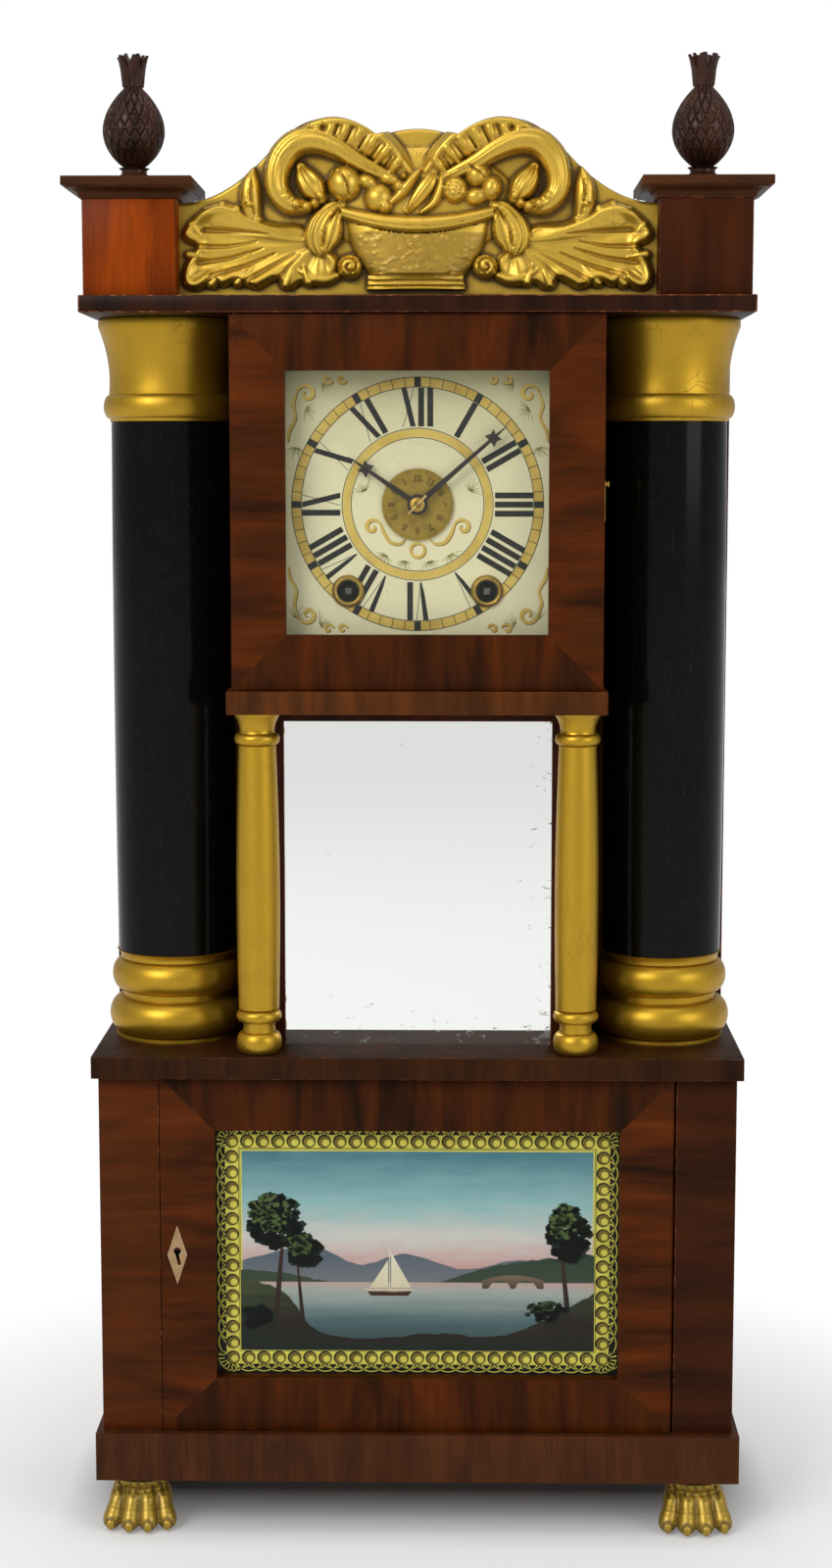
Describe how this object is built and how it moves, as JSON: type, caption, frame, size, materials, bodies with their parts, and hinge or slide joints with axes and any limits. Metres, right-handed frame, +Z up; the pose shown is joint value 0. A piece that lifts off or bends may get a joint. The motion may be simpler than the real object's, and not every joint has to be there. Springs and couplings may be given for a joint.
{
  "type": "hollow column shelf clock",
  "caption": "Weight-driven shelf clock with tall black hollow columns, gilt carved crest and paw feet, pineapple finials, mirror and painted glass tablet in a mahogany case.",
  "frame": {"origin": "on the floor plane under the clock, at mid width and mid depth", "axes": "+X to the right seen from the front, +Y towards the back, +Z up; the front faces -Y"},
  "size_m": [0.4348, 0.15, 0.947],
  "materials": {
    "mahogany": "figured mahogany veneer, shellac gloss",
    "dark_mahogany": "dark mahogany, shellac",
    "orange_mahogany": "orange-brown mahogany veneer, shellac",
    "pine": "bare pine",
    "oak": "bare oak",
    "cherry": "bare cherry",
    "walnut": "dark carved walnut, oiled",
    "gilt": "carved wood under gold bronze paint",
    "ebonized": "wood under polished black paint",
    "painted_dial": "cream painted wood, aged",
    "mirror": "old silvered glass with slight foxing",
    "clear_glass": "clear old window glass",
    "painted_glass": "reverse painted glass tablet",
    "brass": "aged brass",
    "iron": "dark iron",
    "black_iron": "blackened iron",
    "bone": "polished bone",
    "line": "braided cotton line"
  },
  "bodies": {
    "case": {"base_sides": "mahogany", "base_floor": "pine", "base_stiles": "mahogany", "base_moulding": "dark_mahogany", "ledge": "dark_mahogany", "backboard": "pine", "paw_feet": "gilt", "rear_feet": "dark_mahogany", "upper_sides": "mahogany", "shelf_board": "dark_mahogany", "plinths": "orange_mahogany", "plinth_caps": "dark_mahogany", "finials": "walnut", "splat": "gilt", "left_column": "ebonized", "right_column": "ebonized", "column_bases": "gilt", "column_capitals": "gilt", "small_columns": "gilt", "mirror_glass": "mirror", "mirror_frame": "dark_mahogany", "trunk_sides": "pine", "dial_box_floor": "dark_mahogany", "dial": "painted_dial", "winding_grommets": "brass", "movement_plates": "oak", "movement_pillars": "oak", "bell": "iron", "door_hinge_pins": "iron", "upper_lines": "line", "left_fall_line": "line", "right_fall_line": "line"},
    "dial_door": {"dial_door_frame": "mahogany", "dial_door_glass": "clear_glass", "catch_eye": "brass"},
    "lower_door": {"lower_door_frame": "mahogany", "tablet_glass": "painted_glass", "escutcheon": "bone", "lock_case": "iron"},
    "catch_hook": {"catch_hook": "brass"},
    "lock_bolt": {"lock_bolt": "brass"},
    "left_weight": {"left_weight": "iron"},
    "right_weight": {"right_weight": "iron"},
    "time_drum": {"time_drum": "cherry"},
    "strike_drum": {"strike_drum": "cherry"},
    "left_pulley": {"left_pulley": "brass"},
    "right_pulley": {"right_pulley": "brass"},
    "hour_hand": {"hour_hand": "black_iron"},
    "minute_hand": {"minute_hand": "black_iron"},
    "motion_wheel": {"motion_wheel": "cherry"},
    "alarm_disc": {"alarm_disc": "brass"},
    "pendulum": {"pendulum": "brass"},
    "verge": {"verge": "iron"},
    "escape_wheel": {"escape_wheel": "brass"},
    "third_wheel": {"third_wheel": "cherry"},
    "centre_wheel": {"centre_wheel": "cherry"},
    "time_great_wheel": {"time_great_wheel": "cherry"},
    "strike_great_wheel": {"strike_great_wheel": "cherry"},
    "strike_pin_wheel": {"strike_pin_wheel": "cherry"},
    "strike_hammer": {"strike_hammer": "iron"}
  },
  "joints": [
    {"name": "dial_door_hinge", "type": "hinge", "parent": "case", "child": "dial_door", "pos_m": [-0.1128, -0.0652, 0.667], "axis": [0, 0, -1], "range_deg": [0, 120]},
    {"name": "lower_door_hinge", "type": "hinge", "parent": "case", "child": "lower_door", "pos_m": [0.1616, -0.0602, 0.1865], "axis": [0, 0, 1], "range_deg": [0, 90]},
    {"name": "catch_hook_turn", "type": "hinge", "parent": "case", "child": "catch_hook", "pos_m": [0.1168, -0.0406, 0.6798], "axis": [-1, 0, 0], "range_deg": [0, 90]},
    {"name": "lock_bolt_slide", "type": "slide", "parent": "lower_door", "child": "lock_bolt", "axis": [-1, 0, 0], "range_m": [0, 0.008]},
    {"name": "left_weight_rise", "type": "slide", "parent": "case", "child": "left_weight", "axis": [0, 0, 1], "range_m": [0, 0.32], "deforming": ["left_fall_line"]},
    {"name": "right_weight_rise", "type": "slide", "parent": "case", "child": "right_weight", "axis": [0, 0, 1], "range_m": [0, 0.32], "deforming": ["right_fall_line"]},
    {"name": "time_drum_turn", "type": "hinge", "parent": "case", "child": "time_drum", "pos_m": [-0.0438, 0.0084, 0.6126], "axis": [0, 1, 0], "range_deg": [0, 2030]},
    {"name": "strike_drum_turn", "type": "hinge", "parent": "case", "child": "strike_drum", "pos_m": [0.0438, 0.0084, 0.6126], "axis": [0, 1, 0], "range_deg": [-2030, 0]},
    {"name": "left_pulley_turn", "type": "hinge", "parent": "case", "child": "left_pulley", "pos_m": [-0.1479, 0.0084, 0.7665], "axis": [0, 1, 0], "range_deg": [0, 1530]},
    {"name": "right_pulley_turn", "type": "hinge", "parent": "case", "child": "right_pulley", "pos_m": [0.1479, 0.0084, 0.7665], "axis": [0, 1, 0], "range_deg": [-1530, 0]},
    {"name": "minute_hand_turn", "type": "hinge", "parent": "case", "child": "minute_hand", "pos_m": [0, -0.0516, 0.667], "axis": [0, 1, 0], "continuous": true},
    {"name": "hour_hand_turn", "type": "hinge", "parent": "case", "child": "hour_hand", "pos_m": [0, -0.0476, 0.667], "axis": [0, 1, 0], "continuous": true},
    {"name": "motion_wheel_turn", "type": "hinge", "parent": "case", "child": "motion_wheel", "pos_m": [-0.01697, -0.0216, 0.65003], "axis": [0, 1, 0], "continuous": true},
    {"name": "alarm_disc_turn", "type": "hinge", "parent": "case", "child": "alarm_disc", "pos_m": [0, -0.0456, 0.667], "axis": [0, 1, 0], "continuous": true},
    {"name": "third_wheel_turn", "type": "hinge", "parent": "case", "child": "third_wheel", "pos_m": [-0.00797, 0.0124, 0.7062], "axis": [0, 1, 0], "continuous": true},
    {"name": "centre_wheel_turn", "type": "hinge", "parent": "case", "child": "centre_wheel", "pos_m": [0, 0.0224, 0.667], "axis": [0, 1, 0], "continuous": true},
    {"name": "escape_wheel_turn", "type": "hinge", "parent": "case", "child": "escape_wheel", "pos_m": [0.022, 0.0024, 0.72], "axis": [0, 1, 0], "continuous": true},
    {"name": "time_great_wheel_turn", "type": "hinge", "parent": "case", "child": "time_great_wheel", "pos_m": [-0.0438, 0.0334, 0.6126], "axis": [0, 1, 0], "continuous": true},
    {"name": "strike_great_wheel_turn", "type": "hinge", "parent": "case", "child": "strike_great_wheel", "pos_m": [0.0438, 0.0404, 0.6126], "axis": [0, 1, 0], "continuous": true},
    {"name": "strike_pin_wheel_turn", "type": "hinge", "parent": "case", "child": "strike_pin_wheel", "pos_m": [0.0438, 0.0404, 0.6651], "axis": [0, 1, 0], "continuous": true},
    {"name": "pendulum_swing", "type": "hinge", "parent": "case", "child": "pendulum", "pos_m": [0.022, -0.0146, 0.763], "axis": [0, 1, 0], "range_deg": [-2.5, 2.5]},
    {"name": "verge_rock", "type": "hinge", "parent": "case", "child": "verge", "pos_m": [0.022, 0.0034, 0.754], "axis": [0, 1, 0], "range_deg": [-3.4, 3.4]},
    {"name": "strike_hammer_swing", "type": "hinge", "parent": "case", "child": "strike_hammer", "pos_m": [-0.075, 0.0564, 0.5753], "axis": [0, 1, 0], "range_deg": [-1.5, 12]}
  ],
  "couplings": [
    {"joint": "time_drum_turn", "follows": "left_weight_rise", "rad_per_m": 109.89},
    {"joint": "left_pulley_turn", "follows": "left_weight_rise", "rad_per_m": 82.645},
    {"joint": "strike_drum_turn", "follows": "right_weight_rise", "rad_per_m": -109.89},
    {"joint": "right_pulley_turn", "follows": "right_weight_rise", "rad_per_m": -82.645},
    {"joint": "hour_hand_turn", "follows": "minute_hand_turn", "ratio": 0.083333},
    {"joint": "motion_wheel_turn", "follows": "minute_hand_turn", "ratio": -0.33333},
    {"joint": "centre_wheel_turn", "follows": "third_wheel_turn", "ratio": -0.11111},
    {"joint": "escape_wheel_turn", "follows": "third_wheel_turn", "ratio": -10},
    {"joint": "time_great_wheel_turn", "follows": "third_wheel_turn", "ratio": 0.02509},
    {"joint": "strike_pin_wheel_turn", "follows": "strike_great_wheel_turn", "ratio": -6},
    {"joint": "verge_rock", "follows": "pendulum_swing", "ratio": 1.26}
  ]
}
